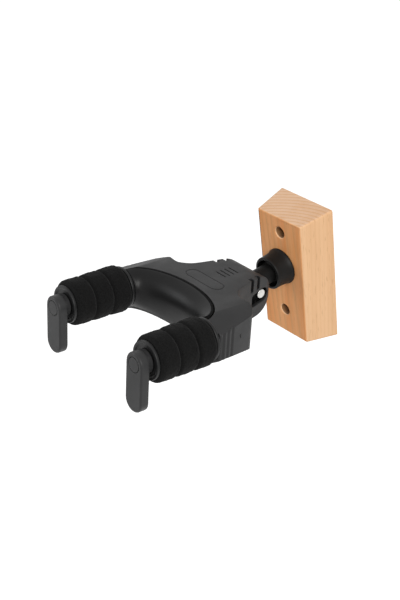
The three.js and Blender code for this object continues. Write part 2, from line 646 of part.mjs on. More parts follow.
// ---- pivot
for (const [side, sign] of SIDES) {
  const inner = TONGUE_HALF_WIDTH + FIT;
  const [x0, x1] = sign < 0 ? [-INSERT_FACE_X, -inner] : [inner, INSERT_FACE_X];
  const bores = [
    bar('x', PIN_RADIUS + FIT, -THROUGH, THROUGH, [PIN_Y, PIN_Z], 32),
    bar('x', STOP_PIN_RADIUS + FIT, -THROUGH, THROUGH, [STOP_PIN_Y, STOP_PIN_Z], 16),
  ];
  piece(yoke, `pivot_insert_${side}`, cut(recess(FIT, x0, x1), ...bores), 'dark_plastic');
}
piece(yoke, 'pivot_pin',
  bar('x', PIN_RADIUS, -PIN_HALF_LENGTH, PIN_HALF_LENGTH, [PIN_Y, PIN_Z], 32), 'bright_steel');
piece(yoke, 'stop_pin',
  bar('x', STOP_PIN_RADIUS, -STOP_PIN_HALF_LENGTH, STOP_PIN_HALF_LENGTH, [STOP_PIN_Y, STOP_PIN_Z], 16),
  'bright_steel');

class Helix extends THREE.Curve {
  constructor(radius, turns, z0, z1) {
    super();
    Object.assign(this, { radius, turns, z0, z1 });
  }

  getPoint(t, target = new THREE.Vector3()) {
    const angle = 2 * Math.PI * this.turns * t;
    const rise = this.z0 + (this.z1 - this.z0) * t;
    return target.set(this.radius * Math.cos(angle), this.radius * Math.sin(angle), rise);
  }
}

function returnSpring() {
  const reach = PIN_Y - SPRING_Y;
  const leverTop = PIN_Z - reach * Math.tan(radians(TILT / 2)) + leverHalfHeightAt(reach);
  const from = leverTop + SPRING_SEAT;
  const to = DECK_Z - WALL - FIT - SPRING_WIRE;
  const wire = new THREE.Shape().absarc(0, 0, SPRING_WIRE, 0, 2 * Math.PI);
  const coil = new THREE.ExtrudeGeometry(wire, {
    steps: SPRING_TURNS * 10, curveSegments: 3, bevelEnabled: false,
    extrudePath: new Helix(SPRING_RADIUS, SPRING_TURNS, from, to),
  });
  return solid(coil.translate(0, SPRING_Y, 0));
}
piece(yoke, 'return_spring', returnSpring(), 'bright_steel');

// ---- gate drive: the lever lifts the bar, and the bar's slots swing the cranks
for (const [side, sign] of SIDES) {
  piece(yoke, `guide_pin_${side}`,
    bar('z', GUIDE_RADIUS, plateTopZ + FIT, DECK_Z - WALL - FIT, [sign * GUIDE_X, BAR_Y], 16),
    'bright_steel');
}

function liftBar() {
  const y0 = BAR_Y - BAR_THICKNESS / 2;
  const y1 = BAR_Y + BAR_THICKNESS / 2;
  const lean = (BAR_THICKNESS / 2) * Math.tan(radians(TILT / 2));
  const windowHalf = LEVER_TIP_THICKNESS / 2 + SLIDE_FIT + lean;
  const windowX = LEVER_HALF_WIDTH + SLIDE_FIT;
  const window = box(-windowX, windowX, y0 - 1, y1 + 1, PIN_Z - windowHalf, PIN_Z + windowHalf);
  const slotHalf = CRANK_PIN_RADIUS + SLIDE_FIT;
  const inner = ARM_X - crankRadius;
  const outer = ARM_X - crankRadius * Math.cos(radians(GATE_SWING / 2));
  const barEnd = outer + slotHalf + BAR_END;
  const body = box(-barEnd, barEnd, y0, y1, -BAR_HALF_HEIGHT, BAR_HALF_HEIGHT);
  const slots = SIDES.map(([, sign]) => extrudeY(
    belt([sign * inner, 0], slotHalf, [sign * outer, 0], slotHalf, 8), y0 - 1, y1 + 1));
  const guides = SIDES.map(([, sign]) => bar(
    'z', GUIDE_RADIUS + SLIDE_FIT, -THROUGH, THROUGH, [sign * GUIDE_X, BAR_Y], 16));
  return cut(body, window, ...slots, ...guides).translate([0, 0, -barLift / 2]);
}
piece(yoke, 'lift_bar', liftBar(), 'zinc');

// ---- arms and gates
const ringBackY = ROOT_Y - FIT;
const foamBackY = ringBackY - RING_LENGTH - FIT;
const foamFrontY = foamBackY - FOAM_LENGTH;
const capBackY = foamFrontY - FIT;
const capFrontY = capBackY - CAP_THICKNESS;
const capFaceY = capFrontY + CAP_RECESS;
const tubeFrontY = capBackY + FIT;
const shaftBackY = CRANK_Y + CRANK_THICKNESS / 2;
const bushBackY = TUBE_BACK_Y - FIT;
const gateBackY = capFaceY - FIT - GATE_HUB_LENGTH;
const gateFrontY = gateBackY - GATE_THICKNESS;
const shaftFrontY = gateBackY - SHAFT_SEAT;

/** A quarter round at one end of the sleeve, as radius and y. */
const roundedEnd = (radius, y, direction) => [0, 1, 2, 3].map((i) => {
  const angle = (Math.PI / 2) * (i / 3);
  return [
    radius - FOAM_ROUND * (1 - Math.sin(angle)),
    y + direction * FOAM_ROUND * (1 - Math.cos(angle)),
  ];
});

function foamSleeve(x) {
  const grooves = [1, 2].flatMap((i) => {
    const share = i / FOAM_SEGMENTS;
    const y = foamBackY - share * FOAM_LENGTH;
    const radius = FOAM_ROOT_RADIUS + share * (FOAM_RADIUS - FOAM_ROOT_RADIUS);
    return [[radius, y + FOAM_GROOVE], [radius - FOAM_GROOVE, y], [radius, y - FOAM_GROOVE]];
  });
  return turned([
    [TUBE_RADIUS + FIT, foamBackY], ...roundedEnd(FOAM_ROOT_RADIUS, foamBackY, -1), ...grooves,
    ...roundedEnd(FOAM_RADIUS, foamFrontY, 1).reverse(), [TUBE_RADIUS + FIT, foamFrontY],
  ], x, 0, 28);
}

/** A thin round cap with a rim round its sunk face, and a spigot that fits the tube. */
function endCap(x) {
  const spigot = TUBE_BORE - FIT;
  const bore = SHAFT_RADIUS + SLIDE_FIT;
  return turned([
    [bore, capBackY + CAP_SPIGOT], [spigot, capBackY + CAP_SPIGOT], [spigot, capBackY],
    [CAP_RADIUS - CAP_EDGE, capBackY], [CAP_RADIUS, capBackY - CAP_EDGE], [CAP_RADIUS, capFrontY + CAP_EDGE],
    [CAP_RADIUS - CAP_EDGE, capFrontY], [CAP_RADIUS - 3 * CAP_EDGE, capFrontY],
    [CAP_RADIUS - 4 * CAP_EDGE, capFaceY], [bore, capFaceY],
  ], x, 0, 28);
}

const coverBackY = gateFrontY + SCREW_COVER_THICKNESS;
const headBackY = coverBackY + FIT + GATE_SCREW_HEIGHT;

function gate(x) {
  const outline = belt([x, 0], GATE_HALF_WIDTH, [x, -GATE_REACH], GATE_HALF_WIDTH, 10);
  const face = (offset, y) => inset(outline, offset).map(([u, v]) => [u, v, -y]);
  const plate = loft([
    face(0, gateBackY), face(0, gateFrontY + GATE_BEVEL), face(GATE_BEVEL, gateFrontY),
  ]).rotate([90, 0, 0]);
  const hub = bar('y', GATE_HUB_RADIUS, gateBackY - 1, capFaceY - FIT, [x, 0], 32);
  const bores = [
    bar('y', SHAFT_RADIUS + FIT, shaftFrontY - FIT, 0, [x, 0], 24),
    bar('y', GATE_SCREW_RADIUS + FIT, gateFrontY - 1, 0, [x, 0], 16),
    bar('y', GATE_SCREW_HEAD + FIT, gateFrontY - 1, headBackY + FIT, [x, 0], 24),
    bar('y', SCREW_COVER_RADIUS + FIT, gateFrontY - 1, coverBackY + FIT, [x, 0], 28),
  ];
  return cut(plate.add(hub), ...bores);
}

function crank(x, sign) {
  const pinX = x - sign * crankRadius * Math.cos(radians(GATE_SWING / 2));
  const pinZ = -crankRadius * Math.sin(radians(GATE_SWING / 2));
  const web = extrudeY(
    belt([x, 0], CRANK_HUB_RADIUS, [pinX, pinZ], CRANK_PIN_RADIUS + CRANK_PIN_WALL, 10),
    CRANK_Y - CRANK_THICKNESS / 2, CRANK_Y + CRANK_THICKNESS / 2);
  const pin = bar('y', CRANK_PIN_RADIUS, CRANK_Y, BAR_Y + BAR_THICKNESS / 2 + 0.5, [pinX, pinZ], 16);
  const bore = bar('y', SHAFT_RADIUS + FIT, CRANK_Y - CRANK_THICKNESS, CRANK_Y + CRANK_THICKNESS, [x, 0]);
  return cut(web.add(pin), bore);
}

/** The shaft, bored for the screw that holds the gate on its end. */
function gateShaft(x) {
  const shaft = bar('y', SHAFT_RADIUS, shaftBackY, shaftFrontY, [x, 0], 24);
  const boreEnd = shaftFrontY + GATE_SCREW_REACH + 1;
  return cut(shaft, bar('y', GATE_SCREW_RADIUS + FIT, shaftFrontY - 1, boreEnd, [x, 0], 16));
}

function gateScrew(x) {
  const headFrontY = headBackY - GATE_SCREW_HEIGHT;
  const head = bar('y', GATE_SCREW_HEAD, headFrontY, headBackY, [x, 0], 24);
  return head.add(bar('y', GATE_SCREW_RADIUS, headFrontY, shaftFrontY + GATE_SCREW_REACH, [x, 0], 16));
}

function armTube(x) {
  return ring(TUBE_BORE, TUBE_RADIUS, TUBE_BACK_Y, tubeFrontY, x, 0, 24);
}

function shaftBush(x) {
  return ring(SHAFT_RADIUS + SLIDE_FIT, TUBE_BORE - FIT, bushBackY, bushBackY - SHAFT_BUSH_LENGTH, x, 0, 24);
}

for (const [side, sign] of SIDES) {
  const x = sign * ARM_X;
  const rootRing = ring(TUBE_RADIUS + FIT, RING_RADIUS, ringBackY, ringBackY - RING_LENGTH, x, 0, 28);
  const screwCover = bar('y', SCREW_COVER_RADIUS, gateFrontY, coverBackY, [x, 0], 28);
  piece(yoke, `root_ring_${side}`, rootRing, 'grey_plastic');
  piece(yoke, `arm_tube_${side}`, armTube(x), 'zinc');
  piece(yoke, `foam_sleeve_${side}`, foamSleeve(x), 'foam');
  piece(yoke, `end_cap_${side}`, endCap(x), 'grey_plastic');
  piece(yoke, `shaft_bush_${side}`, shaftBush(x), 'acetal');
  piece(yoke, `gate_shaft_${side}`, gateShaft(x), 'bright_steel');
  piece(yoke, `gate_crank_${side}`, crank(x, sign), 'zinc');
  piece(yoke, `gate_${side}`, gate(x), 'grey_plastic');
  piece(yoke, `gate_screw_${side}`, gateScrew(x), 'zinc');
  piece(yoke, `screw_cover_${side}`, screwCover, 'grey_plastic');
}

export default hanger;
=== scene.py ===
"""Wall guitar hanger: the finishes and fine surfaces around its fixed frame, laid out as an add-on.

Every piece stays in the frame's own place. The yoke's pieces are worked out in the yoke's axes, which
are e_x across, e_y back along the arms towards the wall and e_z square to the deck, and are then
carried to the frame at rest.
"""
import json
import math

import bmesh
import bpy
import numpy as np
from mathutils import Euler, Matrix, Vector


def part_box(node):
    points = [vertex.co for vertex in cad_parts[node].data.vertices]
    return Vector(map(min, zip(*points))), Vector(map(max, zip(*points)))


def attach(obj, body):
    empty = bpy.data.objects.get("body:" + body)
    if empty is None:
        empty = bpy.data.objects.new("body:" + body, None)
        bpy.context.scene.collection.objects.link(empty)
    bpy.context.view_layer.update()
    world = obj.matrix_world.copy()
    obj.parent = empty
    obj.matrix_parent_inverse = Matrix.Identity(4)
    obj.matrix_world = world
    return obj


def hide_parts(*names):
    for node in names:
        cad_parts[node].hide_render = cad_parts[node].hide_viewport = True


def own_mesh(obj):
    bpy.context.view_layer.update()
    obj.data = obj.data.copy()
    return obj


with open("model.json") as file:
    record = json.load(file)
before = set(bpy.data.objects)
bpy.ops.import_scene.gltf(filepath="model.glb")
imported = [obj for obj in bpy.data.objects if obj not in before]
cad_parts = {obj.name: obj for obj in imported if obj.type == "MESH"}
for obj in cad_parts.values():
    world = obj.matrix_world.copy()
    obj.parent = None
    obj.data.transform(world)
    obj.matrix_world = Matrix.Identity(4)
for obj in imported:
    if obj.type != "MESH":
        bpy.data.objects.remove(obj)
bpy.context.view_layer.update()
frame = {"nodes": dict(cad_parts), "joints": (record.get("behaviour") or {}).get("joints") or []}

bl_info = {
    "name": "Wall guitar hanger",
    "version": (1, 0, 0),
    "blender": (4, 5, 0),
    "location": "View3D > Sidebar > Hanger",
    "description": "Makes the fine surfaces and finishes of a wall guitar hanger",
    "category": "Add Mesh",
}

MM = 0.001
SIDES = (("left", -1.0), ("right", 1.0))


# ---- the frame's own places

def joint(name):
    return next(j for j in frame["joints"] if j["name"] == name)


def unit(vector):
    return np.array(vector, float) / np.linalg.norm(vector)


E_X = np.array([1.0, 0.0, 0.0])
E_Z = unit(joint("bar_lift")["axis"])
E_Y = np.cross(E_Z, E_X)
PIVOT = np.array(joint("yoke_tilt")["pos_m"], float)
STEM_AXIS = np.array(joint("yoke_swivel")["pos_m"], float)
ARM_AXIS = {side: np.array(joint(f"gate_{side}_turn")["pos_m"], float) for side, _ in SIDES}


def corners(node):
    """Every vertex of a CAD node at rest, as an array."""
    mesh = frame["nodes"][node].data
    points = np.zeros(3 * len(mesh.vertices))
    mesh.vertices.foreach_get("co", points)
    return points.reshape(-1, 3)


def stations(node, origin, axis):
    """Where a CAD node starts and ends along an axis through an origin."""
    along = (corners(node) - origin) @ axis
    return along.min(), along.max()


def reach(node, origin, axis):
    """How far a CAD node's vertices lie from an axis: the least and the greatest distance."""
    offset = corners(node) - origin
    away = offset - np.outer(offset @ axis, axis)
    distance = np.linalg.norm(away, axis=1)
    return distance.min(), distance.max()


# ---- settings that a user would change

class HangerSizes(bpy.types.PropertyGroup):
    """Sizes of the fine shapes that the frame leaves plain."""
    edge_round: bpy.props.FloatProperty(
        name="Moulded edge", description="Width of the rounding on moulded edges",
        default=0.30 * MM, unit="LENGTH")
    wood_round: bpy.props.FloatProperty(
        name="Block edge", description="Width of the rounding on the block's edges",
        default=1.1 * MM, unit="LENGTH")
    lobe_crown: bpy.props.FloatProperty(
        name="Foam crown", description="How far each lobe of foam stands proud at its middle",
        default=0.35 * MM, unit="LENGTH")
    groove_width: bpy.props.FloatProperty(
        name="Foam groove", description="Width of the groove between two lobes of foam",
        default=2.4 * MM, unit="LENGTH")
    groove_depth: bpy.props.FloatProperty(
        name="Groove depth", description="Depth of the groove between two lobes of foam",
        default=1.4 * MM, unit="LENGTH")
    foam_lobes: bpy.props.IntProperty(
        name="Foam lobes", description="Lobes on each foam sleeve", default=3, min=1)
    foam_grain: bpy.props.FloatProperty(
        name="Foam grain", description="Height of the foam's skin grain",
        default=0.055 * MM, unit="LENGTH")
    foam_swell: bpy.props.FloatProperty(
        name="Foam swell", description="Height of the foam's slow unevenness",
        default=0.16 * MM, unit="LENGTH")
    turned_sides: bpy.props.IntProperty(
        name="Turned sides", description="Faces around a turned piece", default=96, min=24)


class HangerColours(bpy.types.PropertyGroup):
    """Base colours of the finishes, as linear values."""
    wood_light: bpy.props.FloatVectorProperty(
        name="Wood, light", description="Early wood", default=(0.79, 0.50, 0.285), size=3,
        subtype="COLOR")
    wood_dark: bpy.props.FloatVectorProperty(
        name="Wood, dark", description="Late wood and streaks", default=(0.62, 0.32, 0.14), size=3,
        subtype="COLOR")
    plastic: bpy.props.FloatVectorProperty(
        name="Housing plastic", description="Moulded housing, rings, caps and gates",
        default=(0.0245, 0.0245, 0.0252), size=3, subtype="COLOR")
    saddle: bpy.props.FloatVectorProperty(
        name="Saddle", description="Smooth lining of the fork", default=(0.0075, 0.0075, 0.0076), size=3,
        subtype="COLOR")
    foam: bpy.props.FloatVectorProperty(
        name="Foam", description="Closed-cell foam", default=(0.0066, 0.0066, 0.0066), size=3,
        subtype="COLOR")
    black: bpy.props.FloatVectorProperty(
        name="Black paint", description="Collar and stem", default=(0.0062, 0.0059, 0.0056), size=3,
        subtype="COLOR")
    steel: bpy.props.FloatVectorProperty(
        name="Steel", description="Pins, shafts and spring", default=(0.62, 0.61, 0.59), size=3,
        subtype="COLOR")
    zinc: bpy.props.FloatVectorProperty(
        name="Zinc plate", description="Screws, washers and pressed parts",
        default=(0.46, 0.46, 0.44), size=3, subtype="COLOR")
    bronze: bpy.props.FloatVectorProperty(
        name="Bronze", description="Sintered pivot bush", default=(0.42, 0.24, 0.10), size=3,
        subtype="COLOR")
    acetal: bpy.props.FloatVectorProperty(
        name="Acetal", description="Natural plastic bushes", default=(0.70, 0.67, 0.60), size=3,
        subtype="COLOR")


class HangerStage(bpy.types.PropertyGroup):
    """The camera, the floor and the lamps."""
    camera_place: bpy.props.FloatVectorProperty(
        name="Camera place", description="Where the camera stands",
        default=(0.449386, -0.414228, 0.391057), size=3, subtype="TRANSLATION")
    camera_turn: bpy.props.FloatVectorProperty(
        name="Camera turn", description="The camera's turn about X, Y and Z",
        default=tuple(math.radians(a) for a in (55.7445, 5.8711, 50.3629)), size=3, subtype="EULER")
    lens: bpy.props.FloatProperty(
        name="Lens", description="Focal length in millimetres on a 36 mm sensor", default=65.94)
    floor_drop: bpy.props.FloatProperty(
        name="Floor drop", description="Floor below the hanger's origin", default=0.75, unit="LENGTH")
    sky: bpy.props.FloatProperty(
        name="Sky", description="Strength of the even light from all around", default=0.42)
    key: bpy.props.FloatProperty(
        name="Key lamp", description="Power of the large soft lamp", default=15.5, unit="POWER")
    fill: bpy.props.FloatProperty(
        name="Fill lamp", description="Power of the smaller lamp on the far side", default=3.2,
        unit="POWER")


# ---- surfaces

def add_mesh(name, points, faces):
    """A mesh object from an array of points and a list of faces, at the origin and shaded smooth."""
    mesh = bpy.data.meshes.new(name)
    mesh.from_pydata(np.asarray(points, float).reshape(-1, 3).tolist(), [], faces)
    mesh.update()
    mesh.shade_smooth()
    piece = bpy.data.objects.new(name, mesh)
    bpy.context.scene.collection.objects.link(piece)
    return piece


def grid_faces(rows, columns, closed_rows, closed_columns):
    """The quads of a grid of points, each as four numbers into the flattened grid."""
    r = np.arange(rows if closed_rows else rows - 1)
    c = np.arange(columns if closed_columns else columns - 1)
    r, c = np.meshgrid(r, c, indexing="ij")
    next_r, next_c = (r + 1) % rows, (c + 1) % columns
    quads = np.stack([r * columns + c, r * columns + next_c,
                      next_r * columns + next_c, next_r * columns + c], -1)
    return quads.reshape(-1, 4).tolist()


def surface(name, points, closed_rows=False, closed_columns=False, caps=False, sharp=40.0):
    """A grid of points as a closed piece: merged at its poles, faces outwards, sharp past an angle.

    With caps, the first and last row are each closed by one face.
    """
    rows, columns = points.shape[:2]
    faces = grid_faces(rows, columns, closed_rows, closed_columns)
    if caps:
        faces.append(list(range(columns)))
        faces.append(list(range((rows - 1) * columns, rows * columns)))
    piece = add_mesh(name, points, faces)
    tidy(piece.data, merge=1e-7)
    piece.data.set_sharp_from_angle(angle=math.radians(sharp))
    return piece


def tidy(mesh, merge):
    """Merges doubles and turns every face outwards."""
    work = bmesh.new()
    work.from_mesh(mesh)
    bmesh.ops.remove_doubles(work, verts=work.verts, dist=merge)
    bmesh.ops.recalc_face_normals(work, faces=work.faces)
    work.to_mesh(mesh)
    work.free()
    mesh.update()


def rounded(outline, radius, closed=True, steps=5):
    """An outline whose corners are quarter-like curves that leave each edge at most radius short."""
    outline = np.asarray(outline, float)
    before, after = np.roll(outline, 1, 0), np.roll(outline, -1, 0)
    radius = np.broadcast_to(np.asarray(radius, float), len(outline))

    def towards(other):
        edge = other - outline
        length = np.linalg.norm(edge, axis=1)
        cut = np.minimum(radius, 0.48 * length)
        return outline + edge * (cut / np.maximum(length, 1e-12))[:, None]

    start, end = towards(before), towards(after)
    t = np.linspace(0, 1, steps + 1)[None, :, None]
    curve = (1 - t) ** 2 * start[:, None] + 2 * t * (1 - t) * outline[:, None] + t ** 2 * end[:, None]
    if not closed:
        curve[0], curve[-1] = outline[0], outline[-1]
    return curve.reshape(-1, 2)


def turned(name, profile, origin, axis, up, sides):
    """A piece turned about an axis: radius and station of a closed profile, carried round a circle."""
    angle = np.linspace(0, 2 * math.pi, sides, endpoint=False)
    side = np.cross(axis, up)
    spoke = np.cos(angle)[:, None] * side + np.sin(angle)[:, None] * up
    profile = np.asarray(profile, float)
    points = origin + profile[:, 1, None, None] * axis + profile[:, 0, None, None] * spoke[None]
    return surface(name, points, closed_rows=True, closed_columns=True)


def noise(shape, cells, seed):
    """Smooth noise that repeats in both directions: white noise with its fine waves damped.

    cells gives the size of a bump in grid steps, one for each direction. The result has a spread of 1.
    """
    white = np.random.default_rng(seed).standard_normal(shape)
    waves = [np.fft.fftfreq(n) * cell for n, cell in zip(shape, cells)]
    damping = np.exp(-2 * math.pi * (waves[0][:, None] ** 2 + waves[1][None, :] ** 2))
    smooth = np.real(np.fft.ifft2(np.fft.fft2(white) * damping))
    return smooth / smooth.std()


def softened_copy(node, name, width, sharp=30.0, segments=2, short=0.02 * MM):
    """A merged copy of a CAD node with its flat faces joined and its sharp edges rounded.

    Edges that lie on the wall, where Y is 0, stay sharp.
    """
    mesh = frame["nodes"][node].data.copy()
    mesh.name = name
    mesh.materials.clear()
    work = bmesh.new()
    work.from_mesh(mesh)
    bmesh.ops.remove_doubles(work, verts=work.verts, dist=1e-6)
    bmesh.ops.dissolve_degenerate(work, dist=short, edges=work.edges)
    bmesh.ops.dissolve_limit(
        work, angle_limit=math.radians(0.6), verts=work.verts, edges=work.edges)
    edges = [e for e in work.edges
             if len(e.link_faces) == 2 and e.calc_face_angle() > math.radians(sharp)
             and max(abs(v.co.y) for v in e.verts) > 1e-6]
    if width > 0:
        bmesh.ops.bevel(work, geom=edges, offset=width, segments=segments, profile=0.5,
                        affect="EDGES", clamp_overlap=False, loop_slide=True)
    bmesh.ops.triangulate(work, faces=[f for f in work.faces if len(f.verts) > 4])
    work.to_mesh(mesh)
    work.free()
    mesh.shade_smooth()
    mesh.set_sharp_from_angle(angle=math.radians(sharp))
    piece = bpy.data.objects.new(name, mesh)
    bpy.context.scene.collection.objects.link(piece)
    if width > 0:
        flatter = piece.modifiers.new("flat faces", "WEIGHTED_NORMAL")
        flatter.weight = 100
        flatter.keep_sharp = True
    return piece


# ---- shader maths

class Value:
    """One socket of a material's tree; arithmetic on it adds the Math nodes that do it."""

    def __init__(self, look, socket):
        self.look = look
        self.socket = socket

    def math(self, operation, *others):
        links = dict(enumerate((self, *others)))
        return self.look.add("ShaderNodeMath", {"operation": operation}, links)

    def __add__(self, other):
        return self.math("ADD", other)

    def __radd__(self, other):
        return self.math("ADD", other)

    def __sub__(self, other):
        return self.math("SUBTRACT", other)

    def __rsub__(self, other):
        return self.look.add("ShaderNodeMath", {"operation": "SUBTRACT"}, {0: other, 1: self})

    def __mul__(self, other):
        return self.math("MULTIPLY", other)

    def __rmul__(self, other):
        return self.math("MULTIPLY", other)

    def __pow__(self, other):
        return self.math("POWER", other)

    def between(self, low, high):
        """0 below low, 1 above high, and a smooth step between them."""
        return self.look.add("ShaderNodeMapRange", {"interpolation_type": "SMOOTHSTEP"},
                             {"Value": self, "From Min": low, "From Max": high})


class Look:
    """A material's node tree with one principled shader."""

    def __init__(self, name, **uniform):
        self.material = bpy.data.materials.new(name)
        self.material.use_nodes = True
        self.tree = self.material.node_tree
        self.shader = self.tree.nodes["Principled BSDF"]
        for socket, value in uniform.items():
            self.shader.inputs[socket.replace("_", " ")].default_value = value

    def add(self, kind, settings=None, inputs=None, output=0):
        """A node of that type: settings first, then the values or links of its sockets."""
        node = self.tree.nodes.new(kind)
        for name, value in (settings or {}).items():
            setattr(node, name, value)
        for name, value in (inputs or {}).items():
            self.feed(node.inputs[name], value)
        return Value(self, node.outputs[output])

    def feed(self, socket, value):
        if isinstance(value, Value):
            self.tree.links.new(value.socket, socket)
        elif hasattr(socket.default_value, "__len__") and len(value) == 3 and len(socket.default_value) == 4:
            socket.default_value = (*value, 1.0)
        else:
            socket.default_value = value

    def shade(self, name, value):
        self.feed(self.shader.inputs[name], value)

    def place(self, scale=(1, 1, 1), shift=(0, 0, 0), turn=(0, 0, 0)):
        """Object coordinates, moved, turned and stretched."""
        where = self.add("ShaderNodeTexCoord", output="Object")
        return self.add("ShaderNodeMapping", None,
                        {"Vector": where, "Location": shift, "Rotation": turn, "Scale": scale})

    def parts(self, vector):
        """The three coordinates of a vector."""
        first = self.add("ShaderNodeSeparateXYZ", None, {"Vector": vector})
        return [Value(self, output) for output in first.socket.node.outputs]

    def noise(self, vector, scale, detail=2.0, roughness=0.5, distortion=0.0):
        return self.add("ShaderNodeTexNoise", None, {
            "Vector": vector, "Scale": scale, "Detail": detail, "Roughness": roughness,
            "Distortion": distortion})

    def mix(self, factor, first, second, mode="MIX"):
        """Two colours mixed by a factor."""
        node = self.tree.nodes.new("ShaderNodeMix")
        node.data_type = "RGBA"
        node.blend_type = mode
        self.feed(node.inputs["Factor"], factor)
        self.feed(node.inputs[6], first)
        self.feed(node.inputs[7], second)
        return Value(self, node.outputs[2])

    def bump(self, height, distance, strength=1.0, under=None):
        inputs = {"Height": height, "Distance": distance, "Strength": strength}
        if under is not None:
            inputs["Normal"] = under
        return self.add("ShaderNodeBump", None, inputs)

    def painted_gap_shade(self, depth):
        """Painted shade mask: 1 deep in a narrow gap, and 0 in the open, from ambient occlusion."""
        sky = self.add("ShaderNodeAmbientOcclusion", {"samples": 8}, {"Distance": depth}, output="AO")
        return 1.0 - sky.between(0.30, 0.72)

    def edges(self, radius):
        """1 where an edge is nearer than about a radius, and 0 on flat ground; and the eased normal."""
        eased = self.add("ShaderNodeBevel", {"samples": 6}, {"Radius": radius})
        normal = self.add("ShaderNodeNewGeometry", output="Normal")
        agree = self.add("ShaderNodeVectorMath", {"operation": "DOT_PRODUCT"}, {0: eased, 1: normal},
                         output="Value")
        return (1.0 - agree).between(0.01, 0.16), eased


# ---- finishes

def scaled(colour, factor):
    return tuple(factor * c for c in colour)


def moulded(name, colour, roughness, grain=1.0, edge=0.28 * MM, rub_and_highlight=1.55, gloss=0.28):
    """Moulded plastic: fine spark grain, faint flow marks, edges lightened in patches as wear and as a
    painted highlight, patchy roughness, and painted shade darkening narrow gaps.
    """
    look = Look(name, IOR=1.45, Specular_IOR_Level=gloss)
    here = look.place()
    flow = look.noise(look.place(scale=(1, 0.35, 1)), 55, 3).between(0.3, 0.7)
    grains = look.noise(here, 2600, 2, 0.6)
    pits = look.noise(here, 900, 2, 0.5)
    worn_and_highlit, eased = look.edges(edge)
    patches = look.noise(here, 160, 3).between(0.35, 0.75)
    base = look.mix(flow, scaled(colour, 0.9), scaled(colour, 1.1))
    # edges lightened in patches: partly wear, partly a painted highlight where edges catch the light
    base = look.mix(worn_and_highlit * (0.35 + 0.65 * patches), base, scaled(colour, rub_and_highlight))
    # painted shade: slots, grooves and narrow gaps darkened by ambient occlusion
    base = look.mix(look.painted_gap_shade(1.5 * MM), base, scaled(colour, 0.12))
    look.shade("Base Color", base)
    look.shade("Roughness", roughness - 0.06 * flow + 0.05 * patches - 0.10 * worn_and_highlit)
    fine = look.bump(grains, 0.030 * MM * grain, 0.55, under=eased)
    look.shade("Normal", look.bump(pits, 0.045 * MM * grain, 0.45, under=fine))
    return look.material


def beech(name, light, dark):
    """Solid beech: growth rings round a far-off heart, fibres along Z, flecks and open pores, with painted
    shade making faces turned to the front darker and more orange.
    """
    look = Look(name, IOR=1.45, Specular_IOR_Level=0.3)
    heart = look.place(shift=(-0.033, 0.079, 0.0), turn=(0.03, 0.04, 0))
    sway = look.noise(look.place(scale=(1, 1, 0.12)), 34, 2) - 0.5
    across, deep, _ = look.parts(heart)
    distance = (across * across + deep * deep) ** 0.5 + 0.0022 * sway
    ring = (distance * (1 / (3.0 * MM))).math("FRACT")
    late = ring.between(0.45, 0.9) * (1.0 - ring.between(0.93, 1.0))
    fibre = look.noise(look.place(scale=(1, 1, 0.035)), 620, 3, 0.6)
    streak = look.noise(look.place(scale=(1, 1, 0.05)), 75, 3, 0.55).between(0.38, 0.72)
    fleck = look.noise(look.place(scale=(1, 1, 0.11)), 1150, 1, 0.4).between(0.63, 0.70)
    pores = look.noise(look.place(scale=(1, 1, 0.25)), 2600, 1, 0.4).between(0.62, 0.72)
    normal = look.add("ShaderNodeNewGeometry", output="Normal")
    _, inwards, upwards = look.parts(normal)
    end_grain = upwards.math("ABSOLUTE").between(0.7, 0.95)
    # painted shade: faces turned to the front get darker, more orange tones
    front = (inwards * -1.0).between(0.6, 0.95)
    tone = look.mix(end_grain, light, (light[0] * 0.97, light[1] * 1.03, light[2] * 1.22))
    tone = look.mix(late * (0.18 + 0.42 * end_grain), tone, dark)
    tone = look.mix(streak * 0.30, tone, scaled(dark, 0.98))
    front_shade_tones = look.mix(streak, (light[0] * 1.0, light[1] * 0.70, light[2] * 0.44),
                     (light[0] * 0.95, light[1] * 0.53, light[2] * 0.24))
    tone = look.mix(front * 0.95, tone, look.mix(late * 0.35, front_shade_tones, scaled(dark, 0.85)))
    tone = look.mix(fibre.between(0.35, 0.7) * 0.22, tone, scaled(light, 1.12))
    tone = look.mix(fleck * 0.30 * (1.0 - end_grain), tone, scaled(dark, 0.75))
    tone = look.mix(pores * 0.25 * end_grain, tone, scaled(dark, 0.6))
    look.shade("Base Color", tone)
    look.shade("Roughness", 0.52 + 0.10 * fibre + 0.06 * late)
    ridges = look.bump(fibre, 0.05 * MM, 0.5)
    look.shade("Normal", look.bump(fleck + 0.6 * pores, 0.06 * MM, 0.35, under=ridges))
    return look.material


def foam_skin(name, colour):
    """Closed-cell foam: matte, pricked with open cells, with slightly dusty high spots and painted shade
    darkening its grooves.
    """
    look = Look(name, IOR=1.35, Specular_IOR_Level=0.10, Sheen_Weight=0.03, Sheen_Roughness=0.6)
    here = look.place()
    cells = look.add("ShaderNodeTexVoronoi", {"feature": "F1"}, {"Vector": here, "Scale": 1500})
    specks = look.noise(here, 1900, 3, 0.65)
    clouds = look.noise(here, 120, 3)
    base = look.mix(specks.between(0.35, 0.7), scaled(colour, 0.55), scaled(colour, 1.75))
    base = look.mix(clouds.between(0.3, 0.8) * 0.4, base, scaled(colour, 1.4))
    # painted shade: the grooves between lobes and other narrow gaps darkened by ambient occlusion
    look.shade("Base Color", look.mix(look.painted_gap_shade(3.0 * MM), base, scaled(colour, 0.1)))
    look.shade("Roughness", 0.88 + 0.10 * specks)
    open_cells = look.bump(cells, 0.16 * MM, 0.55)
    look.shade("Normal", look.bump(specks, 0.20 * MM, 0.6, under=open_cells))
    return look.material


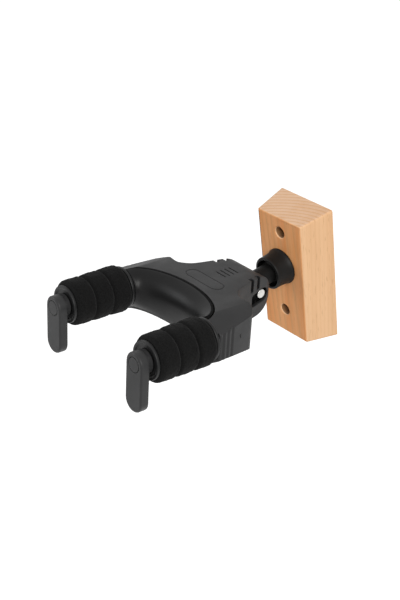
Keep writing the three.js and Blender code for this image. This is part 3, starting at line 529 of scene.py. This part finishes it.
def black_paint(name, colour, axis_point, polish_radius=0.0, gloss=0.16):
    """Satin black paint with faint turning marks, edges lightened as rubbed paint and as a painted
    highlight, and a darker colour and more polish inside a radius.
    """
    look = Look(name, IOR=1.5, Specular_IOR_Level=gloss)
    here = look.place(shift=tuple(-c for c in axis_point))
    across, along, tall = look.parts(here)
    distance = (across * across + tall * tall) ** 0.5
    marks = look.add("ShaderNodeTexNoise", {"noise_dimensions": "1D"},
                     {"W": along + distance, "Scale": 3200, "Detail": 2})
    orange_peel = look.noise(here, 700, 2)
    worn_and_highlit, eased = look.edges(0.22 * MM)
    inside = 1.0 - distance.between(polish_radius * 0.97, polish_radius * 1.03 + 1e-5)
    base = look.mix(inside * 0.7, colour, scaled(colour, 0.35))
    # edges lightened: partly rubbed paint, partly a painted highlight
    base = look.mix(worn_and_highlit * 0.6, base, scaled(colour, 2.0))
    look.shade("Base Color", base)
    look.shade("Roughness", 0.46 + 0.08 * orange_peel - 0.22 * inside)
    turning = look.bump(marks, 0.012 * MM, 0.3, under=eased)
    look.shade("Normal", look.bump(orange_peel, 0.03 * MM, 0.3, under=turning))
    return look.material


def metal(name, colour, roughness, mottle, scratch=0.25):
    """Bare or plated metal: fine brushing, mottled plate and small stains."""
    look = Look(name, Metallic=1.0)
    here = look.place()
    brushed = look.noise(look.place(scale=(1, 0.08, 1)), 3000, 2)
    plate = look.noise(here, 420, 3).between(0.35, 0.65)
    stain = look.noise(here, 140, 2).between(0.58, 0.75)
    base = look.mix(plate * mottle, colour, scaled(colour, 0.72))
    look.shade("Base Color", look.mix(stain * 0.3, base, scaled(colour, 0.5)))
    look.shade("Roughness", roughness + 0.14 * plate * mottle + 0.12 * stain)
    look.shade("Normal", look.bump(brushed, 0.012 * MM, scratch))
    return look.material


def natural_plastic(name, colour):
    """Machined natural plastic: waxy, with turning marks."""
    look = Look(name, Subsurface_Weight=0.15, Subsurface_Scale=0.6 * MM)
    here = look.place()
    marks = look.noise(look.place(scale=(0.1, 1, 0.1)), 2400, 2)
    cloud = look.noise(here, 260, 2)
    look.shade("Base Color", look.mix(cloud, scaled(colour, 0.9), scaled(colour, 1.05)))
    look.shade("Roughness", 0.42 + 0.1 * marks)
    look.shade("Normal", look.bump(marks, 0.02 * MM, 0.3))
    return look.material


FINISH_MAKERS = {
    "beech": lambda c: beech("beech", c.wood_light, c.wood_dark),
    # painted shade: the walls of the holes in the block get a much darker beech
    "beech in painted hole shade": lambda c: beech("beech in painted hole shade", scaled(c.wood_dark, 0.55), scaled(c.wood_dark, 0.3)),
    "housing plastic": lambda c: moulded("housing plastic", scaled(c.plastic, 0.88), 0.50, rub_and_highlight=2.3),
    "trim plastic": lambda c: moulded("trim plastic", scaled(c.plastic, 0.42), 0.42, grain=0.8, rub_and_highlight=3.2),
    "gate plastic": lambda c: moulded("gate plastic", scaled(c.plastic, 1.08), 0.44, grain=0.9, rub_and_highlight=2.6),
    "dark plastic": lambda c: moulded("dark plastic", scaled(c.plastic, 0.08), 0.6, gloss=0.04),
    "saddle": lambda c: moulded("saddle lining", c.saddle, 0.40, grain=0.35, rub_and_highlight=1.3, gloss=0.20),
    "foam": lambda c: foam_skin("closed-cell foam", c.foam),
    "collar paint": lambda c: black_paint("collar paint", c.black, STEM_AXIS, 9.3 * MM),
    "stem paint": lambda c: black_paint("stem paint", scaled(c.black, 0.6), STEM_AXIS, gloss=0.14),
    "steel": lambda c: metal("ground steel", c.steel, 0.26, 0.25),
    "zinc": lambda c: metal("zinc plate", c.zinc, 0.36, 0.8),
    "bronze": lambda c: metal("sintered bronze", c.bronze, 0.42, 0.9),
    "acetal": lambda c: natural_plastic("natural acetal", c.acetal),
}


def finish_of(name):
    """The material of that finish, made on first use."""
    made = bpy.context.scene.get("hanger_finishes", {})
    if name not in made:
        material = FINISH_MAKERS[name](bpy.context.scene.hanger_colours)
        bpy.context.scene["hanger_finishes"] = {**dict(made), name: material.name}
        return material
    return bpy.data.materials[made[name]]


def settle(piece, finish, body, slot, *nodes):
    """Gives a new piece its finish and its body, and hides the CAD nodes that it stands for. The slot is not
    used.
    """
    piece.data.materials.clear()
    piece.data.materials.append(finish_of(finish))
    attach(piece, body)
    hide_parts(*nodes)
    return piece


def second_finish(piece, finish, chosen):
    """Gives some faces another finish, chosen by a rule over the faces' centres and normals."""
    mesh = piece.data
    centre, normal = np.zeros(3 * len(mesh.polygons)), np.zeros(3 * len(mesh.polygons))
    mesh.polygons.foreach_get("center", centre)
    mesh.polygons.foreach_get("normal", normal)
    mesh.materials.append(finish_of(finish))
    index = chosen(centre.reshape(-1, 3), normal.reshape(-1, 3)).astype(np.int32)
    mesh.polygons.foreach_set("material_index", index)


def dress(finish, *nodes):
    """Gives CAD nodes whose shape is right a finish of their own."""
    for node in nodes:
        mesh = frame["nodes"][node].data
        mesh.materials.clear()
        mesh.materials.append(finish_of(finish))


class HangerPiece:
    """What the operators share: the sidebar lists them, and each can be undone."""
    bl_options = {"REGISTER", "UNDO"}

    def sizes(self, context):
        return context.scene.hanger_sizes


# ---- stage

def area_lamp(name, place, aim, size, power, colour):
    lamp = bpy.data.lights.new(name, "AREA")
    lamp.shape = "DISK"
    lamp.size = size
    lamp.energy = power
    lamp.color = colour
    holder = bpy.data.objects.new(name, lamp)
    holder.location = place
    holder.rotation_euler = (Vector(aim) - Vector(place)).to_track_quat("-Z", "Y").to_euler()
    bpy.context.scene.collection.objects.link(holder)


def seen_straight(tree):
    """1 for rays that show the background itself: from the camera, in a mirror or through glass."""
    path = tree.nodes.new("ShaderNodeLightPath")
    either = tree.nodes.new("ShaderNodeMath")
    either.operation = "MAXIMUM"
    tree.links.new(path.outputs["Is Camera Ray"], either.inputs[0])
    tree.links.new(path.outputs["Is Glossy Ray"], either.inputs[1])
    any_of = tree.nodes.new("ShaderNodeMath")
    any_of.operation = "MAXIMUM"
    tree.links.new(either.outputs[0], any_of.inputs[0])
    tree.links.new(path.outputs["Is Transmission Ray"], any_of.inputs[1])
    return any_of.outputs[0]


class HANGER_OT_stage(HangerPiece, bpy.types.Operator):
    """Make the pale floor, the white surroundings, the soft lamps and the camera"""
    bl_idname = "hanger.stage"
    bl_label = "Stage"

    def execute(self, context):
        stage = context.scene.hanger_stage
        context.scene.view_settings.view_transform = "Standard"
        self.camera(context, stage)
        self.surroundings(context, stage)
        self.floor(stage)
        area_lamp("key lamp", (1.1, -0.42, 0.85), (0, -0.09, 0), 0.8, stage.key, (1.0, 0.99, 0.97))
        area_lamp("fill lamp", (-0.8, -0.8, 0.55), (0, -0.09, 0), 0.7, stage.fill, (0.96, 0.98, 1.0))
        return {"FINISHED"}

    def camera(self, context, stage):
        data = bpy.data.cameras.new("camera")
        data.lens = stage.lens
        data.sensor_width = 36
        data.sensor_fit = "AUTO"
        data.clip_start, data.clip_end = 0.01, 20
        camera = bpy.data.objects.new("camera", data)
        camera.location = stage.camera_place
        camera.rotation_euler = Euler(stage.camera_turn, "XYZ")
        context.scene.collection.objects.link(camera)
        context.scene.camera = camera

    def surroundings(self, context, stage):
        world = bpy.data.worlds.new("white room")
        world.use_nodes = True
        tree = world.node_tree
        background = tree.nodes["Background"]
        background.inputs["Color"].default_value = (1, 1, 1, 1)
        strength = tree.nodes.new("ShaderNodeMapRange")
        strength.inputs["To Min"].default_value = stage.sky
        strength.inputs["To Max"].default_value = 1.0
        tree.links.new(seen_straight(tree), strength.inputs["Value"])
        tree.links.new(strength.outputs[0], background.inputs["Strength"])
        context.scene.world = world

    def floor(self, stage):
        """A flat disc far below the hanger: rings of points that end in one middle point."""
        angle = np.linspace(0, 2 * math.pi, 64, endpoint=False)
        radius = np.linspace(0, 6.0, 5)
        points = np.stack([radius[:, None] * np.cos(angle), radius[:, None] * np.sin(angle),
                           np.full((5, 64), -stage.floor_drop)], -1)
        floor = surface("floor", points, closed_columns=True)
        material = bpy.data.materials.new("white floor")
        material.use_nodes = True
        tree = material.node_tree
        paint = tree.nodes["Principled BSDF"]
        paint.inputs["Base Color"].default_value = (0.82, 0.82, 0.82, 1)
        paint.inputs["Roughness"].default_value = 0.9
        paint.inputs["Specular IOR Level"].default_value = 0.0
        glow = tree.nodes.new("ShaderNodeMath")
        glow.operation = "MULTIPLY"
        glow.inputs[1].default_value = 0.7
        tree.links.new(seen_straight(tree), glow.inputs[0])
        paint.inputs["Emission Color"].default_value = (1, 1, 1, 1)
        tree.links.new(glow.outputs[0], paint.inputs["Emission Strength"])
        floor.data.materials.append(material)


# ---- wall block, collar and stem

class HANGER_OT_wall_block(HangerPiece, bpy.types.Operator):
    """Make the wooden block with its eased edges and its two screw holes"""
    bl_idname = "hanger.wall_block"
    bl_label = "Wall block"

    def execute(self, context):
        block = softened_copy("wall_block", "beech_block", self.sizes(context).wood_round, sharp=50.0,
                              segments=5)
        settle(block, "beech", "base", "beech", "wall_block")
        # painted shade: walls of the holes near the middle of the block take the darkened beech
        second_finish(block, "beech in painted hole shade", lambda centre, normal: (
            (np.abs(centre[:, 0]) < 6 * MM) & (np.abs(centre[:, 2]) < 40 * MM)
            & (np.abs(normal[:, 1]) < 0.3)))
        self.flatten(block.data)
        return {"FINISHED"}

    def flatten(self, mesh):
        """Shades the sawn faces flat: the large ones, and all that lie on the wall."""
        area, centre = np.zeros(len(mesh.polygons)), np.zeros(3 * len(mesh.polygons))
        mesh.polygons.foreach_get("area", area)
        mesh.polygons.foreach_get("center", centre)
        flat = (area > 30 * MM ** 2) | (centre[1::3] > -1e-6)
        mesh.polygons.foreach_set("use_smooth", ~flat)


class HANGER_OT_collar(HangerPiece, bpy.types.Operator):
    """Turn the collar: a flared foot, a waist, a rolled lip and a deep cup"""
    bl_idname = "hanger.collar"
    bl_label = "Collar"

    def execute(self, context):
        axis = np.array([0.0, -1.0, 0.0])
        foot, lip = stations("wall_collar", STEM_AXIS, axis)
        bore, wide = reach("wall_collar", STEM_AXIS, axis)
        length = lip - foot
        cup = 0.752 * wide
        floor = lip - 0.645 * length
        profile = [
            (bore, foot), (wide, foot), (wide, foot + 0.07 * length), (0.94 * wide, foot + 0.20 * length),
            (0.905 * wide, foot + 0.42 * length), (0.885 * wide, foot + 0.74 * length),
            (0.895 * wide, foot + 0.94 * length), (0.87 * wide, lip), (cup, lip), (cup, floor),
            (bore, floor),
        ]
        ease = np.array([0.2, 0.25, 0.5, 1.6, 1.6, 1.6, 0.5, 0.35, 0.45, 0.8, 0.1]) * MM
        collar = turned("collar", rounded(profile, ease), STEM_AXIS, axis, np.array([0.0, 0.0, 1.0]),
                        self.sizes(context).turned_sides)
        settle(collar, "collar paint", "base", "collar_black", "wall_collar")
        return {"FINISHED"}


class HANGER_OT_stem(HangerPiece, bpy.types.Operator):
    """Finish the stem with its tongue and lever, and the fixings hidden in the block"""
    bl_idname = "hanger.stem"
    bl_label = "Stem and fixings"

    def execute(self, context):
        edge = self.sizes(context).edge_round
        stem = softened_copy("swivel_stem", "stem", 0.8 * edge)
        settle(stem, "stem paint", "stem", "stem_black", "swivel_stem")
        dress("bronze", "pivot_bush")
        dress("acetal", "friction_washer")
        nut = softened_copy("lock_nut", "nut", edge)
        settle(nut, "zinc", "stem", "zinc_steel", "lock_nut")
        dress("zinc", "flat_washer", "wave_washer")
        return {"FINISHED"}


# ---- yoke

class HANGER_OT_housing(HangerPiece, bpy.types.Operator):
    """Finish the housing, its bottom plate and the screws between them"""
    bl_idname = "hanger.housing"
    bl_label = "Housing"

    def execute(self, context):
        edge = self.sizes(context).edge_round
        housing = softened_copy("yoke_housing", "housing", edge)
        settle(housing, "housing plastic", "yoke", "housing_grey", "yoke_housing")
        plate = softened_copy("bottom_plate", "belly_plate", 0.6 * edge)
        settle(plate, "housing plastic", "yoke", "housing_grey", "bottom_plate")
        dress("zinc", *(f"housing_screw_{i}" for i in range(1, 5)))
        return {"FINISHED"}


class HANGER_OT_saddle(HangerPiece, bpy.types.Operator):
    """Finish the smooth lining of the fork"""
    bl_idname = "hanger.saddle"
    bl_label = "Saddle"

    def execute(self, context):
        saddle = softened_copy("saddle_liner", "saddle", 0.0, sharp=38.0)
        settle(saddle, "saddle", "yoke", "liner_grey", "saddle_liner")
        second_finish(saddle, "dark plastic", self.top_rim)
        return {"FINISHED"}

    def top_rim(self, centre, normal):
        """The lining's flat upper edge: square to the deck, or to the deck's fall over an arm."""
        deck = normal @ E_Z
        fall = (0.38 * np.abs(normal[:, 0]) + deck) / math.hypot(1, 0.38)
        return (np.maximum(deck, fall) > 0.9995) & ((centre - PIVOT) @ E_Z > 0)


class HANGER_OT_pivot(HangerPiece, bpy.types.Operator):
    """Finish the pins and the dark inserts in the ears"""
    bl_idname = "hanger.pivot"
    bl_label = "Pivot"

    def execute(self, context):
        edge = self.sizes(context).edge_round
        for side, _ in SIDES:
            insert = softened_copy(f"pivot_insert_{side}", f"ear_insert_{side}", 0.5 * edge)
            settle(insert, "dark plastic", "yoke", "dark_plastic", f"pivot_insert_{side}")
        for node, name in (("pivot_pin", "cross_pin"), ("stop_pin", "travel_pin")):
            low, high = stations(node, PIVOT, E_X)
            radius = reach(node, self.centre(node), E_X)[1]
            profile = [(0, low), (radius, low), (radius, high), (0, high)]
            pin = turned(name, rounded(profile, [0, 0.4 * MM, 0.4 * MM, 0]), self.centre(node), E_X, E_Z,
                         self.sizes(context).turned_sides // 2)
            settle(pin, "steel", "yoke", "bright_steel", node)
        return {"FINISHED"}

    def centre(self, node):
        """The middle of a node's box, on its own axis but level with the pivot across the hanger."""
        low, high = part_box(node)
        middle = (np.array(low) + np.array(high)) / 2
        return np.array([PIVOT[0], middle[1], middle[2]])


class HANGER_OT_drive(HangerPiece, bpy.types.Operator):
    """Finish the return spring, the lift bar, its guides, the cranks, shafts and bushes"""
    bl_idname = "hanger.drive"
    bl_label = "Gate drive"

    def execute(self, context):
        spring = softened_copy("return_spring", "coil_spring", 0.0)
        settle(spring, "steel", "yoke", "bright_steel", "return_spring")
        low, high = stations("return_spring", PIVOT, E_Z)
        top = PIVOT + high * E_Z
        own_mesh(spring)
        dress("zinc", "lift_bar", "gate_crank_left", "gate_crank_right", "arm_tube_left", "arm_tube_right",
              "gate_screw_left", "gate_screw_right")
        dress("steel", "guide_pin_left", "guide_pin_right", "gate_shaft_left", "gate_shaft_right")
        dress("acetal", "shaft_bush_left", "shaft_bush_right")
        return {"FINISHED"}


# ---- arms

class HANGER_OT_foam(HangerPiece, bpy.types.Operator):
    """Make the foam sleeves: soft lobes with narrow grooves, a slow swell and a grainy skin"""
    bl_idname = "hanger.foam"
    bl_label = "Foam sleeves"

    def execute(self, context):
        sizes = self.sizes(context)
        for number, (side, _) in enumerate(SIDES):
            self.sleeve(sizes, side, seed=11 + number)
        return {"FINISHED"}

    def sleeve(self, sizes, side, seed):
        """Radius over station and angle.

        The outer skin tapers from root to tip, each lobe is crowned by a flat-topped bow, grooves are
        smooth notches, and both ends round over. Slow and fine noise stand along the radius.
        """
        node = f"foam_sleeve_{side}"
        origin, axis = ARM_AXIS[side], -E_Y
        root, tip = stations(node, origin, axis)
        bore, widest = reach(node, origin, axis)
        length = tip - root
        rows, columns = 190, 260
        share = np.linspace(0, 1, rows)
        taper = widest - 0.6 * MM * share
        lobe = share * sizes.foam_lobes
        middle = 2 * (lobe - np.floor(np.minimum(lobe, sizes.foam_lobes - 1e-9))) - 1
        crown = sizes.lobe_crown * (1 - np.abs(middle) ** 3.0)
        joints = np.arange(1, sizes.foam_lobes) / sizes.foam_lobes
        gap = np.abs(share[:, None] - joints[None]).min(1) * length
        notch = sizes.groove_depth * np.exp(-(2.0 * gap / sizes.groove_width) ** 2 * 1.4)
        skin = taper + crown - notch - sizes.lobe_crown
        ends = np.minimum(share, 1 - share) * length
        roll = 2.6 * MM
        inward = np.clip(1 - ends / roll, 0, 1)
        skin = skin - roll * (1 - np.sqrt(np.clip(1 - inward ** 2, 0, 1)))
        swell = noise((rows, columns), (46, 52), seed)
        grain = noise((rows, columns), (3.4, 3.0), seed + 50)
        grain += 0.6 * noise((rows, columns), (8, 8), seed + 90)
        fade = np.clip(ends / roll, 0.15, 1)[:, None]
        radius = skin[:, None] + fade * (sizes.foam_swell * swell * 0.6 + sizes.foam_grain * grain)
        radius = np.minimum(radius, widest + 0.25 * MM)
        angle = np.linspace(0, 2 * math.pi, columns, endpoint=False)
        spoke = np.cos(angle)[:, None] * E_X + np.sin(angle)[:, None] * E_Z
        station = root + share * length
        outer = origin + station[:, None, None] * axis + radius[..., None] * spoke[None]
        faces = [self.face(origin, axis, spoke, radius[-1], bore, tip),
                 self.wall(origin, axis, spoke, bore, tip, root),
                 self.face(origin, axis, spoke, radius[0], bore, root)[::-1]]
        points = np.concatenate([outer, *faces])
        sleeve = surface(f"foam_{side}", points, closed_rows=True, closed_columns=True, sharp=60.0)
        settle(sleeve, "foam", "yoke", "foam_black", node)

    def face(self, origin, axis, spoke, rim, bore, station):
        """The flat ring at an end of the sleeve, from its rim in to its bore."""
        share = np.linspace(0, 1, 8)[1:, None]
        radius = rim[None] * (1 - share) + bore * share
        return origin + station * axis + radius[..., None] * spoke[None]

    def wall(self, origin, axis, spoke, bore, start, end):
        """The bore from one end of the sleeve to the other."""
        station = np.linspace(start, end, 6)[1:-1, None, None]
        return origin + station * axis + bore * spoke[None]


class HANGER_OT_arm_trim(HangerPiece, bpy.types.Operator):
    """Turn the root rings and the end caps of the arms"""
    bl_idname = "hanger.arm_trim"
    bl_label = "Rings and caps"

    def execute(self, context):
        sides = self.sizes(context).turned_sides
        for side, _ in SIDES:
            origin, axis = ARM_AXIS[side], -E_Y
            self.ring(side, origin, axis, sides)
            self.cap(side, origin, axis, sides)
        return {"FINISHED"}

    def ring(self, side, origin, axis, sides):
        """A rounded band: a plain rectangle turned round the arm with well-eased outer corners."""
        node = f"root_ring_{side}"
        back, front = stations(node, origin, axis)
        bore, wide = reach(node, origin, axis)
        profile = [(bore, back), (wide, back), (wide, front), (bore, front)]
        ring = turned(f"ring_{side}", rounded(profile, [0.1 * MM, 0.9 * MM, 0.9 * MM, 0.1 * MM]),
                      origin, axis, E_Z, sides)
        settle(ring, "trim plastic", "yoke", "housing_grey", node)

    def cap(self, side, origin, axis, sides):
        """A dished cap: a raised rim round a sunk face, on a spigot that enters the tube."""
        node = f"end_cap_{side}"
        back, front = stations(node, origin, axis)
        bore, wide = reach(node, origin, axis)
        spigot = reach(f"shaft_bush_{side}", origin, axis)[1]
        disc = front - 1.9 * MM
        face = front - 0.9 * MM
        profile = [
            (bore, back), (spigot, back), (spigot, disc), (wide, disc), (wide, front),
            (wide - 1.6 * MM, front), (wide - 2.4 * MM, face), (bore, face),
        ]
        ease = np.array([0.1, 0.2, 0.1, 0.5, 0.6, 0.5, 0.5, 0.2]) * MM
        cap = turned(f"cap_{side}", rounded(profile, ease), origin, axis, E_Z, sides)
        settle(cap, "trim plastic", "yoke", "cap_grey", node)


class HANGER_OT_gates(HangerPiece, bpy.types.Operator):
    """Finish the two gates and the round covers over their screws"""
    bl_idname = "hanger.gates"
    bl_label = "Gates"

    def execute(self, context):
        edge = self.sizes(context).edge_round
        for side, _ in SIDES:
            gate = softened_copy(f"gate_{side}", f"swing_gate_{side}", 1.1 * edge, segments=3)
            settle(gate, "gate plastic", f"gate_{side}", "housing_grey", f"gate_{side}")
            cover = softened_copy(f"screw_cover_{side}", f"gate_cover_{side}", 0.6 * edge)
            settle(cover, "gate plastic", f"gate_{side}", "housing_grey", f"screw_cover_{side}")
        return {"FINISHED"}


OPERATORS = (
    HANGER_OT_stage, HANGER_OT_wall_block, HANGER_OT_collar, HANGER_OT_stem, HANGER_OT_housing,
    HANGER_OT_saddle, HANGER_OT_pivot, HANGER_OT_drive, HANGER_OT_foam, HANGER_OT_arm_trim,
    HANGER_OT_gates,
)
GROUPS = (
    ("hanger_sizes", HangerSizes), ("hanger_colours", HangerColours), ("hanger_stage", HangerStage),
)


class HANGER_PT_sidebar(bpy.types.Panel):
    """Lists the hanger's pieces, and the sizes and colours that they are made with"""
    bl_idname = "HANGER_PT_sidebar"
    bl_label = "Guitar hanger"
    bl_space_type = "VIEW_3D"
    bl_region_type = "UI"
    bl_category = "Hanger"

    def draw(self, context):
        for operator in OPERATORS:
            self.layout.operator(operator.bl_idname)
        for name, group in GROUPS:
            box = self.layout.box()
            settings = getattr(context.scene, name)
            for field in group.__annotations__:
                box.prop(settings, field)


def register():
    for name, group in GROUPS:
        bpy.utils.register_class(group)
        setattr(bpy.types.Scene, name, bpy.props.PointerProperty(type=group))
    for item in (*OPERATORS, HANGER_PT_sidebar):
        bpy.utils.register_class(item)


def unregister():
    for item in reversed((*OPERATORS, HANGER_PT_sidebar)):
        bpy.utils.unregister_class(item)
    for name, group in reversed(GROUPS):
        delattr(bpy.types.Scene, name)
        bpy.utils.unregister_class(group)


def main():
    register()
    for operator in OPERATORS:
        getattr(bpy.ops.hanger, operator.bl_idname.split(".")[1])()


if __name__ == "__main__":
    main()
